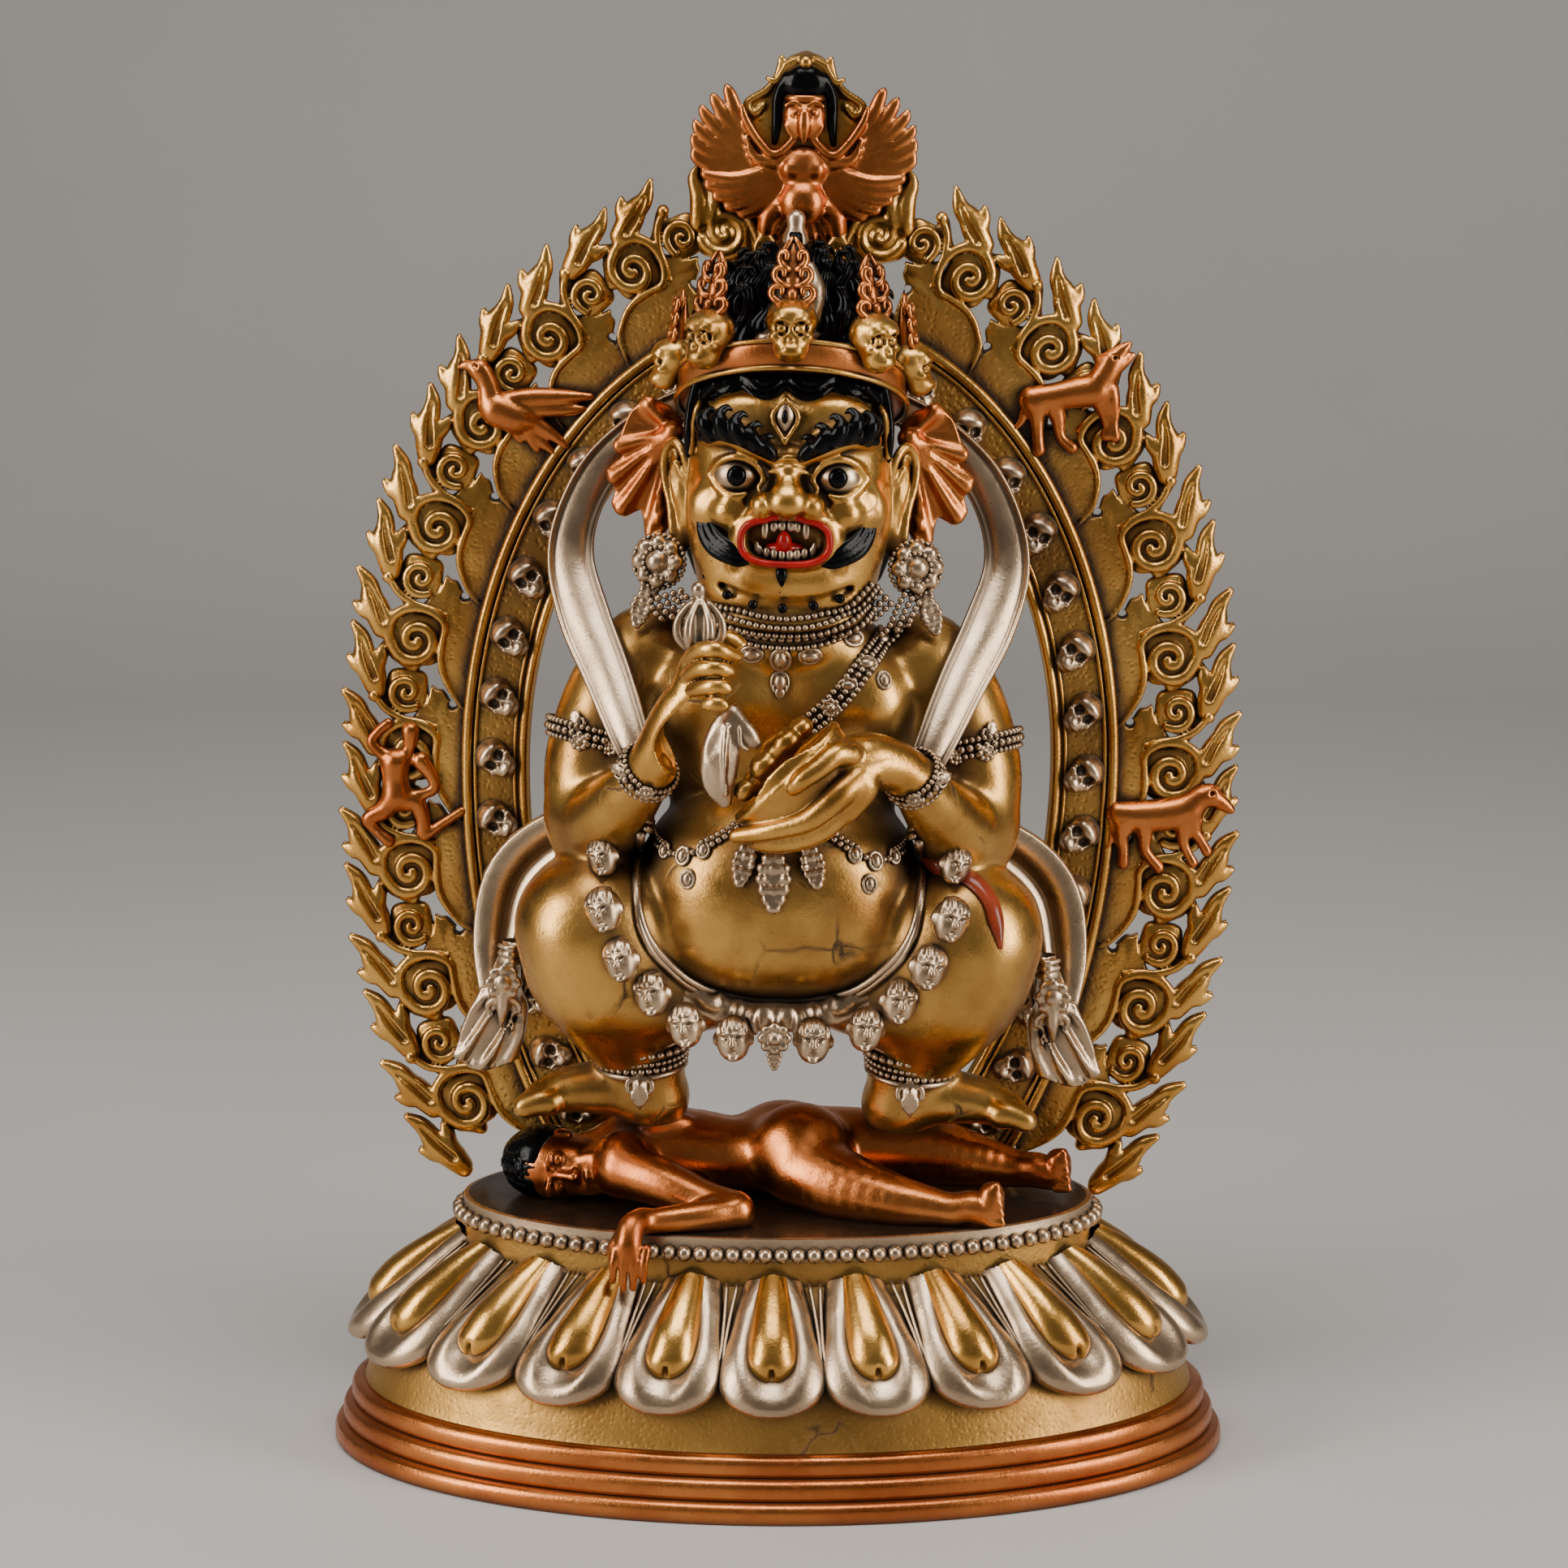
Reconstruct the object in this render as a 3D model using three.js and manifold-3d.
// A gilt temple figure of Mahakala, the wrathful protector, squatting on a prone body on an oval lotus
// plinth, in front of a pierced flame aureole. Millimetres, +Z up; the front looks along -Y.
// The origin is the middle of the plinth's underside.
import * as THREE from 'three';
import { mergeVertices } from 'three/addons/utils/BufferGeometryUtils.js';
import Module from 'manifold-3d';

const wasm = await Module();
wasm.setup();

// Plinth: an oval stepped foot, a plain drum, one row of turned-down lotus petals, a neck with a bead ring.
const PLINTH_WIDTH = 300;
const PLINTH_DEPTH = 180;
const PLINTH_HEIGHT = 85;
const NECK_WIDTH = 210;
const NECK_DEPTH = 106;
const NECK_HEIGHT = 17;
const STEP_COUNT = 3;
const STEP_HEIGHT = 7.2;
const STEP_INSET = 3;
const DRUM_WIDTH = 278;
const BEAD_DIAMETER = 5.3;
const BEAD_DROP = 5;
const PETAL_COUNT = 20;
const PETAL_TIP_RISE = 38;
const PETAL_SPREAD = 140.5;
const PETAL_THICKNESS = 6;
const PETAL_NOTCH = 7;
const OVAL_STEPS = 32;

// Aureole: a pierced plate with a skull band between two raised rims, then scrolls and flame tongues.
const AUREOLE_THICKNESS = 5.5;
const AUREOLE_INSET = 16.5;
const RELIEF = 3;
const AUREOLE_SHIFT = 1.5;
const RIM_HALF_WIDTH = 109;
const RIM_MIDDLE = 140;
const RIM_RISE = 153;
const RIM_DROP = 188;
const BAND_WIDTH = 20.5;
const BAND_RISE = 127;
const BAND_DROP = 153;
const RIM_THICKNESS = 3;
const SCROLL_HALF_WIDTH = 128.4;
const SCROLL_MIDDLE = 121;
const SCROLL_RISE = 205.6;
const SCROLL_DROP = 185.6;
const BIG_SCROLL = 9.8;
const SMALL_SCROLL = 7.3;
const UNITS = 9;
const UNIT_GROWTH = 0.1;
const FLAME_REACH = 24;
const CREST_HEIGHT = 51.4;
const BAND_SKULLS = 14;
const SKULL_LENGTH = 13;
const HOLE_RADIUS = 4;
const BAND_STEPS = 20;

// The prone body, and the figure that stands on it.
const BODY_LENGTH = 186;
const BODY_HEIGHT = 25.7;
const FIGURE_HEIGHT = 295;
const LEAN_DEGREES = 1.3;
const SET_LEFT = 1.2;
const GAP = 0.4;

// The two free forms are laid out in parts of their own length, depth and height.
const BODY_PARTS = { along: 186, deep: 106, high: 25.7 };
const FIGURE_PARTS = 295;
const SOLE_PARTS = [22, 92];

const GOLD = { color: 0xb98a35, roughness: 0.38, metalness: 0.85 };
const COPPER = { color: 0xa3541f, roughness: 0.36, metalness: 0.85 };

// A closed three.js geometry as a solid.
function solid(geometry) {
  const bare = geometry.clone();
  bare.deleteAttribute('normal');
  bare.deleteAttribute('uv');
  const merged = mergeVertices(bare, 1e-4);
  const corners = merged.index.array;
  const kept = [];
  for (let i = 0; i < corners.length; i += 3) {
    const [a, b, c] = [corners[i], corners[i + 1], corners[i + 2]];
    if (a !== b && b !== c && c !== a) kept.push(a, b, c);
  }
  return new wasm.Manifold(new wasm.Mesh({
    numProp: 3,
    vertProperties: new Float32Array(merged.attributes.position.array),
    triVerts: new Uint32Array(kept),
  }));
}

function union(solids) {
  return solids.reduce((whole, piece) => whole.add(piece));
}

function moved(piece, x, y, z) {
  return piece.transform(new THREE.Matrix4().makeTranslation(x, y, z).elements);
}

function mirrored(piece) {
  return piece.mirror([1, 0, 0]);
}

function pair(...pieces) {
  return pieces.flatMap((piece) => [piece, mirrored(piece)]);
}

// An egg with its poles up, then turned about X, Y and Z in degrees.
function egg([x, y, z], [a, b, c], around = 5, down = 3, turn = [0, 0, 0]) {
  const geometry = new THREE.SphereGeometry(1, around, down);
  geometry.rotateX(Math.PI / 2);
  geometry.scale(a, b, c);
  const [rx, ry, rz] = turn.map(THREE.MathUtils.degToRad);
  geometry.applyMatrix4(new THREE.Matrix4().makeRotationFromEuler(new THREE.Euler(rx, ry, rz)));
  geometry.translate(x, y, z);
  return solid(geometry);
}

// A closed skin over rings of equal count, with a fan over each end that meets at the tip given for it.
function loft(rings, firstTip, lastTip) {
  const count = rings[0].length;
  const points = rings.flat();
  const faces = [];
  for (let k = 1; k < rings.length; k += 1) {
    for (let i = 0; i < count; i += 1) {
      const j = (i + 1) % count;
      const [low, high] = [(k - 1) * count, k * count];
      faces.push(low + i, low + j, high + j, low + i, high + j, high + i);
    }
  }
  const middle = (ring) => ring.reduce((sum, p) => sum.map((s, axis) => s + p[axis] / count), [0, 0, 0]);
  points.push(firstTip ?? middle(rings[0]), lastTip ?? middle(rings.at(-1)));
  const last = (rings.length - 1) * count;
  for (let i = 0; i < count; i += 1) {
    const j = (i + 1) % count;
    faces.push(j, i, points.length - 2, last + i, last + j, points.length - 1);
  }
  const geometry = new THREE.BufferGeometry();
  geometry.setAttribute('position', new THREE.BufferAttribute(new Float32Array(points.flat()), 3));
  geometry.setIndex(faces);
  const made = solid(geometry);
  return made.volume() > 0 ? made : loft(rings.map((ring) => [...ring].reverse()), firstTip, lastTip);
}

// A limb, lock or finger: a skin over stations of [x, y, z, radius], with a domed tip at each end.
function limb(stations, sides = 6, dome = 0.6) {
  const spots = stations.map(([x, y, z]) => new THREE.Vector3(x, y, z));
  const end = stations.length - 1;
  const heading = (i) => spots[Math.min(i + 1, end)].clone().sub(spots[Math.max(i - 1, 0)]).normalize();
  const rings = stations.map(([, , , radius], i) => {
    const along = heading(i);
    const across = new THREE.Vector3(0, 1, 0).cross(along);
    if (across.length() < 0.3) across.set(0, 0, 1).cross(along);
    across.normalize();
    const upward = new THREE.Vector3().crossVectors(along, across);
    return Array.from({ length: sides }, (_, k) => {
      const angle = (2 * Math.PI * k) / sides;
      return spots[i].clone().addScaledVector(across, radius * Math.cos(angle))
        .addScaledVector(upward, radius * Math.sin(angle)).toArray();
    });
  });
  const firstTip = spots[0].clone().addScaledVector(heading(0), -stations[0][3] * dome).toArray();
  const lastTip = spots[end].clone().addScaledVector(heading(end), stations[end][3] * dome).toArray();
  return loft(rings, firstTip, lastTip);
}

// An outline of [x, z] points, given a thickness backwards from y = front. Holes are outlines too.
function slab(outline, front, thickness, holes = []) {
  const flat = (points) => points.map(([x, z]) => new THREE.Vector2(x, z));
  const shape = new THREE.Shape(flat(outline));
  shape.holes = holes.map((hole) => new THREE.Path(flat(hole)));
  const plain = { depth: thickness, bevelEnabled: false, curveSegments: 1 };
  const geometry = new THREE.ExtrudeGeometry(shape, plain);
  geometry.rotateX(Math.PI / 2);
  geometry.translate(0, front + thickness, 0);
  return solid(geometry);
}

// A ribbon along stations of [x, y, z, width]: a strap with a raised edge along each side.
function ribbon(stations, thickness) {
  const spots = stations.map(([x, y, z]) => new THREE.Vector3(x, y, z));
  const end = stations.length - 1;
  const section = [[-1, -0.5], [-1, 0.8], [-0.6, 0.3], [0.6, 0.3], [1, 0.8], [1, -0.5]];
  return loft(stations.map(([, , , width], i) => {
    const along = spots[Math.min(i + 1, end)].clone().sub(spots[Math.max(i - 1, 0)]).normalize();
    const across = new THREE.Vector3(0, 1, 0).cross(along).normalize();
    const out = new THREE.Vector3().crossVectors(across, along);
    if (out.y > 0) out.negate();
    return section.map(([s, o]) => spots[i].clone().addScaledVector(across, (s * width) / 2)
      .addScaledVector(out, o * thickness).toArray());
  }));
}

// The figure and the aureole share one lean, about the middle of the plinth's top.
function stood(piece, shift = 0) {
  const place = new THREE.Matrix4().makeTranslation(shift - SET_LEFT, 0, PLINTH_HEIGHT)
    .multiply(new THREE.Matrix4().makeRotationY(THREE.MathUtils.degToRad(LEAN_DEGREES)));
  return piece.transform(place.elements);
}

// Plinth. An oval of the plinth narrows by the same amount at its sides and at its front.
function halfDepthAt(halfWidth) {
  const slope = (PLINTH_DEPTH - NECK_DEPTH) / (PLINTH_WIDTH - NECK_WIDTH);
  return NECK_DEPTH / 2 + (halfWidth - NECK_WIDTH / 2) * slope;
}

function oval(halfWidth, z, grow = 0) {
  return Array.from({ length: OVAL_STEPS }, (_, i) => {
    const angle = (2 * Math.PI * i) / OVAL_STEPS;
    return [(halfWidth + grow) * Math.sin(angle), -(halfDepthAt(halfWidth) + grow) * Math.cos(angle), z];
  });
}

function plinthCore(grow = 0) {
  const foot = PLINTH_WIDTH / 2;
  const neck = NECK_WIDTH / 2;
  const drum = DRUM_WIDTH / 2;
  const neckFoot = PLINTH_HEIGHT - NECK_HEIGHT;
  const beads = PLINTH_HEIGHT - BEAD_DROP;
  const steps = Array.from({ length: STEP_COUNT }, (_, i) => [
    [foot - i * STEP_INSET, i * STEP_HEIGHT], [foot - i * STEP_INSET, (i + 0.8) * STEP_HEIGHT],
  ]).flat();
  const profile = [
    ...steps, [drum, STEP_COUNT * STEP_HEIGHT], [drum - 3, PETAL_TIP_RISE], [neck, neckFoot],
    [neck, beads - BEAD_DIAMETER * 0.6], [neck + BEAD_DIAMETER * 0.9, beads], [neck, PLINTH_HEIGHT],
  ];
  return loft(profile.map(([half, z]) => oval(half, z + (z > neckFoot ? grow : 0), grow)));
}

// Angles of even arc steps round an oval of the plinth, the first at the front.
function evenAngles(halfWidth, count) {
  const fine = 1440;
  const run = [0];
  for (let k = 1; k <= fine; k += 1) {
    const angle = (2 * Math.PI * (k - 0.5)) / fine;
    const [across, inward] = [halfWidth * Math.cos(angle), halfDepthAt(halfWidth) * Math.sin(angle)];
    run.push(run[k - 1] + Math.hypot(across, inward));
  }
  let k = 0;
  return Array.from({ length: count }, (_, i) => {
    while (run[k] < (run[fine] * i) / count) k += 1;
    return (2 * Math.PI * k) / fine;
  });
}

// The petals as one scalloped skirt: each is a swelling plate with a rounded tip, widest below its
// middle, and the grooves between them run in towards the drum.
function petalSkirt() {
  const [tip, top] = [PETAL_TIP_RISE, PLINTH_HEIGHT - NECK_HEIGHT];
  const [out, neck] = [PETAL_SPREAD, NECK_WIDTH / 2];
  const rows = [
    { up: 0, bulge: -0.35 }, { up: 0.04, bulge: 0.25 }, { up: 0.45, bulge: 0.8 }, { up: 1, bulge: 0.3 },
  ];
  const shoulder = { groove: 0.12, notch: 0.25 };
  const across = [{ groove: 1, notch: 1 }, shoulder, { groove: 0, notch: 0.06 }, shoulder];
  const angles = evenAngles(out, PETAL_COUNT * across.length);
  return loft(rows.map(({ up, bulge }) => angles.map((angle, i) => {
    const { groove, notch } = across[(i + 2) % across.length];
    const rise = up + (1 - up) * notch * PETAL_NOTCH / (top - tip);
    const swell = bulge * (1 - groove) - 0.5 * groove;
    const half = out + (neck - out) * rise + swell * PETAL_THICKNESS;
    return [half * Math.sin(angle), -halfDepthAt(half) * Math.cos(angle), tip + (top - tip) * rise];
  })));
}

function lotusPlinth() {
  return plinthCore().add(petalSkirt());
}

// Aureole, with z = 0 at the plinth's top. Angles run from the top, positive to the right.
const AUREOLE_FRONT = NECK_DEPTH / 2 - AUREOLE_INSET - AUREOLE_THICKNESS;

function arch(half, rise, drop, middle, sidePower = 1, topPower = 1) {
  return (angle) => {
    const [s, c] = [Math.sin(angle), Math.cos(angle)];
    if (c < 0) return [half * s, middle + drop * c];
    return [half * Math.abs(s) ** sidePower * Math.sign(s), middle + rise * c ** topPower];
  };
}

const outerRim = arch(RIM_HALF_WIDTH, RIM_RISE, RIM_DROP, RIM_MIDDLE);
const innerRim = arch(RIM_HALF_WIDTH - BAND_WIDTH, BAND_RISE, BAND_DROP, RIM_MIDDLE);
const scrollPath = arch(SCROLL_HALF_WIDTH, SCROLL_RISE, SCROLL_DROP, SCROLL_MIDDLE, 1.3, 0.69);

function between(angle, share) {
  const [a, b] = [outerRim(angle), scrollPath(angle)];
  return [a[0] + (b[0] - a[0]) * share, a[1] + (b[1] - a[1]) * share];
}

// Steps along a curve between two angles, even or each a little longer: [x, z, outward x, outward z].
function evenly(path, from, to, count, growth = 0) {
  const fine = 600;
  const spots = Array.from({ length: fine + 1 }, (_, k) => path(from + ((to - from) * k) / fine));
  const run = [0];
  for (let k = 1; k <= fine; k += 1) {
    run.push(run[k - 1] + Math.hypot(spots[k][0] - spots[k - 1][0], spots[k][1] - spots[k - 1][1]));
  }
  const turn = to > from ? 1 : -1;
  const found = [];
  let k = 0;
  for (let i = 0; i <= count; i += 1) {
    const share = (i / count) * (1 - growth * (1 - i / count));
    while (k < fine - 1 && run[k + 1] < run[fine] * share) k += 1;
    const [a, b] = [spots[k], spots[k + 1]];
    const ahead = new THREE.Vector2(b[0] - a[0], b[1] - a[1]).normalize();
    found.push([...spots[k], -ahead.y * turn, ahead.x * turn]);
  }
  return found;
}

// The angle at which the leaf of the lowest scroll meets the rim.
const FOOT_ANGLE = 2.3;

// The edge past one scroll on the right side, read downwards: two flame tongues that sweep up.
const TONGUES = [[0.98, 0.5], [0.56, 0.06], [0.84, -0.1], [0.42, -0.46]];

function flameEdge([x, z, ox, oz]) {
  const lift = new THREE.Vector2(-oz, ox).lerp(new THREE.Vector2(0, 1), 0.3).normalize();
  return TONGUES.map(([out, up]) => [
    x + (ox * out + lift.x * up) * FLAME_REACH, z + (oz * out + lift.y * up) * FLAME_REACH,
  ]);
}

// A raised disc with bevelled edges, its axis along Y.
function boss(x, z, radius, sides, profile) {
  const shape = profile.map(([r, y]) => new THREE.Vector2(r * radius, y * RELIEF));
  const geometry = new THREE.LatheGeometry([...shape, new THREE.Vector2(0, -RELIEF)], sides);
  geometry.rotateX(Math.PI / 2);
  const made = solid(geometry);
  const outward = made.volume() > 0 ? made : solid(geometry.clone().scale(1, -1, 1));
  return moved(outward, x, AUREOLE_FRONT, z);
}

const BIG_BOSS = [[0, 0.7], [0.86, 0.9], [1, -1]];
const SMALL_BOSS = [[0, 0.9], [1, -0.4]];

function skullBand() {
  const end = Math.acos(-RIM_MIDDLE / RIM_DROP) + 0.3;
  const lip = RIM_THICKNESS / BAND_WIDTH;
  const [back, ground] = [AUREOLE_FRONT + AUREOLE_THICKNESS, AUREOLE_FRONT];
  const raised = AUREOLE_FRONT - RELIEF * 0.8;
  const section = [
    [0, back], [0, raised], [lip, raised], [lip, ground],
    [1 - lip, ground], [1 - lip, raised], [1, raised], [1, back],
  ];
  return loft(Array.from({ length: BAND_STEPS + 1 }, (_, k) => {
    const angle = end * ((2 * k) / BAND_STEPS - 1);
    const [inner, outer] = [innerRim(angle), outerRim(angle)];
    return section.map(([share, y]) => [
      inner[0] + (outer[0] - inner[0]) * share, y, inner[1] + (outer[1] - inner[1]) * share,
    ]);
  }));
}

function flamePlate(stations) {
  const crest = SCROLL_MIDDLE + SCROLL_RISE + CREST_HEIGHT;
  const [[x, z]] = stations;
  const hood = [[0, crest], [6, crest - 4], [8.5, crest - 14], [14, crest - 28], [x + 10, z + 12]];
  const right = [...hood.slice(1), ...stations.slice(1).flatMap(flameEdge)];
  const foot = stations.at(-1);
  const heel = [[foot[0] - 2, foot[1] - BIG_SCROLL], outerRim(FOOT_ANGLE)];
  const seat = 1 - RIM_THICKNESS / BAND_WIDTH / 2;
  const hidden = Array.from({ length: 9 }, (_, k) => {
    const angle = FOOT_ANGLE * (1 - k / 8);
    const [inner, outer] = [innerRim(angle), outerRim(angle)];
    return [inner[0] + (outer[0] - inner[0]) * seat, inner[1] + (outer[1] - inner[1]) * seat];
  });
  const half = [hood[0], ...right, heel[0], ...hidden];
  const outline = [...half, ...half.slice(1, -1).map(([x, z]) => [-x, z]).reverse()];
  return slab([...outline].reverse(), AUREOLE_FRONT - 0.6, AUREOLE_THICKNESS - 0.4, piercings(stations));
}

// A gap beside each big scroll, where the next leaf leaves the rim.
function piercings(stations) {
  const holes = [];
  for (let i = 2; i < stations.length - 1; i += 2) {
    const [x, z, ox, oz] = stations[i];
    const [u, w] = [x - ox * (BIG_SCROLL + 2) + oz * 11, z - oz * (BIG_SCROLL + 2) - ox * 11];
    const corners = [[1.5, 0], [0.2, 1], [-1.2, 0.2], [-0.2, -1]];
    const hole = corners.map(([a, b]) => [
      u + (ox * b + oz * a) * HOLE_RADIUS, w + (oz * b - ox * a) * HOLE_RADIUS,
    ]);
    holes.push(hole, hole.map(([a, b]) => [-a, b]).reverse());
  }
  return holes;
}

// The winged guardian at the top, holding a snake, its black crest ending in a knob at z = 0.
function garuda() {
  const y = AUREOLE_FRONT - RELIEF;
  const wing = [[4, -41], [12, -34], [20, -30], [27, -13], [36, -16], [37, -36], [28, -49], [4, -52]];
  return union([
    ...pair(slab([...wing].reverse(), y - 1, RELIEF + 2)),
    egg([0, y, -45], [8, 6, 11]), egg([0, y - 1, -25], [7.5, 6, 12]),
    limb([[0, y, -16, 5], [0, y, -6, 3]], 4, 1.2),
    ...pair(
      limb([[7, y, -36, 2.6], [17, y - 1, -37, 2.2], [20, y - 1, -24, 1.8]], 4),
      limb([[4, y, -52, 3.6], [10, y - 1, -61, 2.4]], 4),
    ),
  ]);
}

// A beast in relief: body, raised head and legs, about its own middle, looking along +X.
function beast(reach) {
  const y = AUREOLE_FRONT - RELIEF * 0.6;
  return union([
    limb([[-10, y, 0, 5.4], [7, y, 3, 5]], 5),
    limb([[8, y, 4, 3.8], [12, y, 4 + reach, 3.2], [19, y, 6 + reach, 2]], 4),
    limb([[-12, y, -2, 2.8], [-17, y, -16, 1.4]], 3), limb([[-7, y, -3, 2.6], [-3, y, -17, 1.4]], 3),
    limb([[6, y, 0, 2.6], [12, y, -15, 1.4]], 3),
  ]);
}

function bird() {
  const y = AUREOLE_FRONT - RELIEF * 0.6;
  return union([
    limb([[-7, y, 0, 6.4], [4, y, 1, 5.4]], 5),
    limb([[-10, y, 3, 3.6], [-14, y, 15, 2.6], [-20, y, 14, 1.4]], 4),
    limb([[2, y, 4, 3.6], [20, y, 5, 1.6]], 4), limb([[3, y, -3, 3.2], [14, y, -14, 1.8]], 4),
  ]);
}

// A small dancing figure in relief.
function dancer() {
  const y = AUREOLE_FRONT - RELIEF * 0.6;
  return union([
    egg([4, y, 20], [3.8, 3.8, 4.8]), limb([[2, y, 14, 4.6], [-1, y, -4, 4.6]], 5),
    limb([[-2, y, 12, 2.4], [-10, y, 18, 2], [-2, y, 25, 1.6]], 4),
    limb([[0, y, -5, 3.8], [10, y, -20, 3], [20, y, -13, 2]], 4),
    limb([[-2, y, -5, 3.8], [-11, y, -17, 2.8], [-3, y, -24, 2]], 4),
    limb([[4, y, 12, 2.4], [13, y, 3, 1.8], [4, y, 1, 1.8]], 4),
  ]);
}

function bandSkulls() {
  const path = (angle) => {
    const [a, b] = [innerRim(angle), outerRim(angle)];
    return [(a[0] + b[0]) / 2, (a[1] + b[1]) / 2];
  };
  const half = SKULL_LENGTH / 2;
  return evenly(path, 0.42, 2.36, BAND_SKULLS - 1).flatMap(([x, z, ox, oz]) => {
    const tilt = THREE.MathUtils.radToDeg(Math.atan2(ox, oz)) - 40;
    return pair(egg([x, AUREOLE_FRONT, z], [half * 0.9, half * 0.8, half], 4, 2, [0, tilt, 0]));
  });
}

function flameAureole() {
  const stations = evenly(scrollPath, 0.28, 2.15, 2 * UNITS, UNIT_GROWTH);
  const bosses = stations.flatMap(([x, z], i) => pair(
    i % 2 ? boss(x, z, SMALL_SCROLL, 5, SMALL_BOSS) : boss(x, z, BIG_SCROLL, 6, BIG_BOSS),
  ));
  const place = (piece, angle, share) => {
    const [x, z] = between(angle, share);
    return moved(piece, x, 0, z);
  };
  const whole = union([
    flamePlate(stations), skullBand(), ...bosses, ...bandSkulls(),
    moved(garuda(), 0, 0, SCROLL_MIDDLE + SCROLL_RISE + CREST_HEIGHT),
    place(bird(), -0.89, 0.5), place(beast(11), 0.86, 0.8),
    place(dancer(), -1.56, 1), place(beast(3), 1.56, 0.9),
  ]);
  const reach = PLINTH_WIDTH;
  const floor = slab([[-reach, -reach], [reach, -reach], [reach, GAP], [-reach, GAP]], -reach, 2 * reach);
  return stood(whole, AUREOLE_SHIFT).subtract(moved(floor, 0, 0, PLINTH_HEIGHT));
}

// The prone body: head to the left, face down, one arm folded with its hand over the plinth's rim.
function pronePieces() {
  return [
    egg([-74, -6, 9], [14, 11, 11], 7, 5),
    limb([[-58, 2, 11, 15], [-38, 2, 11, 18], [-14, 0, 12, 16]], 8),
    egg([0, 8, 14], [15, 13, 14], 6, 4), egg([8, -8, 15], [15, 13, 15.5], 7, 5),
    limb([[10, -16, 9, 12], [34, -30, 7, 9], [58, -36, 5, 6.4]]),
    limb([[54, -35, 4, 5], [66, -37, 10, 4.6]], 5),
    limb([[8, 6, 13, 14], [44, 4, 14, 13], [80, 2, 9, 8]]), limb([[78, 2, 8, 6], [92, -3, 10, 5]], 5),
    limb([[-50, -18, 13, 9], [-30, -30, 9, 7], [-13, -36, 5, 6.4]]),
    limb([[-14, -38, 4, 5.6], [-34, -46, 4, 4.8], [-46, -50, 4.4, 4.4]], 5),
    limb([[-46, -50, 5, 4], [-47, -58.5, -1, 3.2], [-47, -58.5, -12, 2.6]], 5),
  ];
}

function trampledFigure() {
  const { along, deep, high } = BODY_PARTS;
  const size = new THREE.Matrix4().makeScale(BODY_LENGTH / along, NECK_DEPTH / deep, BODY_HEIGHT / high);
  const body = moved(union(pronePieces()).transform(size.elements), 0, 0, PLINTH_HEIGHT);
  const [inner, outer] = SOLE_PARTS.map((spot) => spot * (FIGURE_HEIGHT / FIGURE_PARTS));
  const tread = [[inner, 0], [outer, 0], [outer, outer], [inner, outer]];
  const treads = union(pair(slab(tread.reverse(), -outer, 2 * outer)));
  return body.subtract(plinthCore(GAP)).subtract(stood(moved(treads, 0, 0, BODY_HEIGHT - GAP)));
}

// The figure, on a grid of its own height with z = 0 at its soles. Sides are given once and mirrored.
function head() {
  const levels = [
    [171, 20, 20], [177, 29.5, 25], [190, 32.5, 27], [210, 33.5, 28], [238, 31, 26], [258, 28, 24],
  ];
  const sides = 10;
  const skin = loft(levels.map(([z, a, b]) => Array.from({ length: sides }, (_, i) => {
    const angle = (2 * Math.PI * (i + 0.5)) / sides;
    const [s, c] = [Math.sin(angle), Math.cos(angle)];
    const square = (Math.abs(s) ** 2.8 + Math.abs(c) ** 2.8) ** (-1 / 2.8);
    return [a * s * square, -10 - b * c * square, z];
  })));
  return union([
    skin, egg([0, -38, 213], [9, 8, 7]), egg([0, -35, 201.5], [16, 6, 8], 6, 3),
    ...pair(
      egg([16.8, -33, 222], [8.5, 6, 6.5]), limb([[8, -37, 231, 3], [27, -32, 235, 3.4]], 4),
      egg([35, -8, 207], [4.6, 5, 20], 4, 4), egg([39.5, -13, 192], [8.4, 5, 8.6], 6, 3),
      limb([[42, -14, 188, 3.6], [45, -14, 177, 2.6]], 4),
      slab([[32, 212], [42, 205], [57, 202], [61, 219], [48, 238.5], [32, 240]].reverse(), -4, 4),
    ),
  ]);
}

// Five crowned skulls round a tilted band, each with a jewel above it.
function crown() {
  const sides = 10;
  const onBand = (angle, radius, z) => {
    const ahead = Math.cos(angle);
    return [radius * Math.sin(angle), -8 - radius * 0.86 * ahead, z + 6 * ahead];
  };
  const steps = Array.from({ length: sides }, (_, i) => (2 * Math.PI * i) / sides);
  const ring = (radius, z) => steps.map((angle) => onBand(angle, radius, z));
  const skulls = [[0, 1], [42, 0.96], [84, 0.84]].flatMap(([degrees, size]) => {
    const [x, y, z] = onBand(THREE.MathUtils.degToRad(degrees), 36, 254);
    const made = [
      egg([x, y, z + 9 * size], [8 * size, 7 * size, 10 * size]),
      egg([x * 1.03, y, z + 23 * size], [6.4 * size, 5, 9 * size], 4, 3),
    ];
    return degrees ? pair(...made) : made;
  });
  return union([loft([ring(37, 245), ring(37.5, 258)]), ...skulls]);
}

// Upswept locks, the tallest in the middle, with a jewel before them.
function hair() {
  const locks = [[0, 7, 289], [13.5, 6.5, 282], [25, 6, 271]];
  return union([
    egg([0, -2, 255], [31, 22, 26], 8, 4), egg([0, -14, 283], [6, 6, 8]),
    ...locks.flatMap(([x, r, top]) => {
      const stations = [[x * 0.9, 2, 264, r * 1.3], [x * 1.05, 1, (264 + top) / 2, r], [x, 0, top, r * 0.5]];
      const lock = limb(stations, 5, 1.7);
      return x ? pair(lock) : [lock];
    }),
  ]);
}

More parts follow.
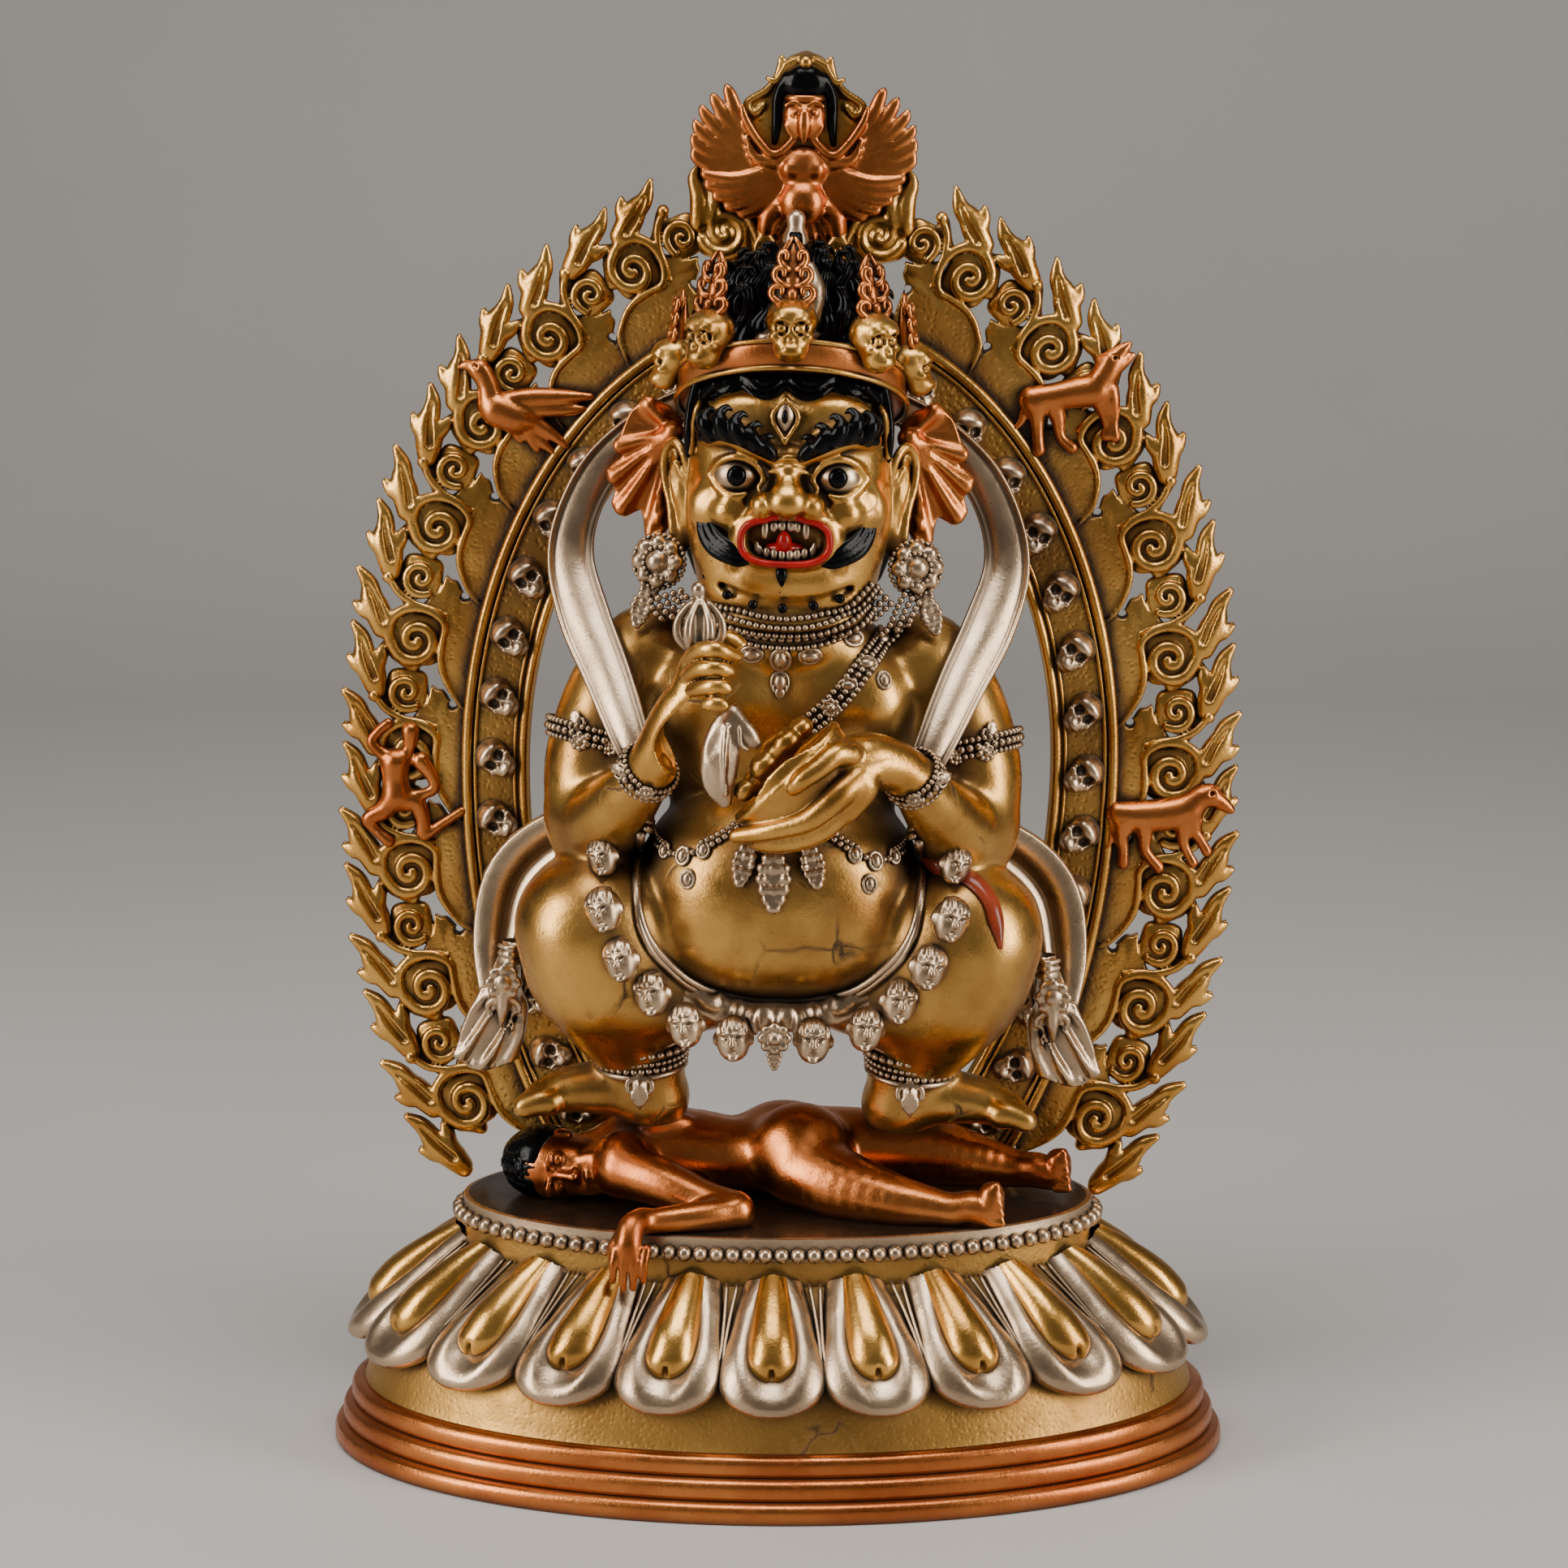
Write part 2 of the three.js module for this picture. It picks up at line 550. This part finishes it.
function torso() {
  return union([
    egg([0, -14, 84], [46.5, 39, 37], 12, 7), egg([0, -4, 134], [50, 25, 38], 8, 5),
    egg([0, 0, 66], [52, 23, 26], 8, 4), egg([0, -22, 55], [38, 26, 18], 8, 4),
    egg([0, -8, 170], [29, 24, 9], 7, 3),
  ]);
}

// Both arms, the fist with its chopper, and the other hand under the tilted skull cup.
function arms() {
  const blade = [[-25, 150], [-13, 148], [-7, 138], [-11, 127], [-20, 119], [-27, 129]];
  const cupTilt = [0, -41, 0];
  return union([
    ...pair(
      limb([[47, -1, 160, 17], [61, -4, 138, 17], [62, -14, 103, 14]]),
      limb([[61, -14, 103, 13.5], [54, -32, 112, 12], [42, -48, 128, 8.5]]),
    ),
    limb([[-42, -48, 127, 8.6], [-34, -57, 143, 7.6], [-26, -60, 158, 9]]),
    egg([-22, -62, 160], [10, 8, 14]),
    ...[150.5, 157.5, 164.5, 171].map((z, i) => egg([-15 - i * 0.8, -67, z], [8, 5, 3.8], 4, 3)),
    limb([[-22, -62, 166, 3.4], [-28, -62, 187, 4]], 4), slab([...blade].reverse(), -64, 5),
    limb([[36, -48, 130, 8.6], [24, -58, 136, 9], [8, -64, 124, 8], [-8, -64, 112, 5.5]], 5),
    egg([0, -58, 133], [19, 13, 14], 7, 4, cupTilt), egg([-4, -58, 142], [14, 9, 8], 5, 3, cupTilt),
  ]);
}

function legs() {
  return union(pair(
    limb([[20, -2, 60, 22], [42, -14, 66, 25], [62, -24, 64, 26]], 7, 0.7),
    limb([[60, -22, 58, 24], [44, -10, 26, 12], [42, -8, 8, 10.5]]),
    limb([[34, -7, 6, 8.6], [56, -8, 7.5, 8.6], [86, -10, 4, 5]]),
    egg([45, -9, 27], [15, 14, 4]),
  )).subtract(slab([[-150, -40], [150, -40], [150, 0], [-150, 0]], -100, 200));
}

// Severed heads strung along the apron's edge and up over both thighs, with a rosette in the middle.
function garland() {
  const strung = [
    [12.6, -42, 42], [29, -37, 47], [40.5, -40, 54], [49.5, -42, 66], [56, -44, 82], [56, -34, 97],
  ];
  return union([
    egg([0, -44, 42], [6, 5, 8.5]), ...strung.flatMap((spot) => pair(egg(spot, [5.4, 5.4, 7.4], 4, 3))),
  ]);
}

// One scarf behind the head, down to both forearms, and one over each thigh with a knotted, flared end.
function scarves() {
  const loop = [
    [0, 14, 246, 12], [22, 14, 242, 12], [43, 13, 234, 11], [60, 12, 219, 15], [69, 9, 203, 16],
    [71, 6, 187, 17], [65, 2, 170, 19], [57, -6, 153, 20], [50, -20, 136, 15],
  ];
  const whole = [...loop.slice(1).reverse().map(([x, y, z, w]) => [-x, y, z, w]), ...loop];
  const lower = [[48, 2, 100, 18], [70, 8, 92, 24], [86, 9, 78, 26], [91, 6, 58, 24], [92, 0, 40, 16]];
  const flare = [[88, 50], [98, 44], [108, 20], [97, 14.5], [86, 18], [83, 36]];
  return union([
    ribbon(whole, 3.4),
    ...pair(ribbon(lower, 4), slab(flare.reverse(), -4, 5), egg([91, -4, 44], [8, 6, 8])),
  ]);
}

function mahakalaFigure() {
  const share = FIGURE_HEIGHT / FIGURE_PARTS;
  const whole = union([torso(), head(), hair(), crown(), arms(), legs(), garland(), scarves()]);
  return stood(moved(whole.scale(share), 0, 0, BODY_HEIGHT));
}

const group = new THREE.Group();

function addPart(name, piece, finish) {
  const { vertProperties, triVerts } = piece.getMesh();
  const geometry = new THREE.BufferGeometry();
  geometry.setAttribute('position', new THREE.BufferAttribute(new Float32Array(vertProperties), 3));
  geometry.setIndex(new THREE.BufferAttribute(new Uint32Array(triVerts), 1));
  geometry.computeVertexNormals();
  const mesh = new THREE.Mesh(geometry, new THREE.MeshStandardMaterial(finish));
  mesh.name = name;
  group.add(mesh);
}

addPart('lotus_plinth', lotusPlinth(), GOLD);
addPart('trampled_figure', trampledFigure(), COPPER);
addPart('mahakala_figure', mahakalaFigure(), GOLD);
addPart('flame_aureole', flameAureole(), GOLD);

export default group;
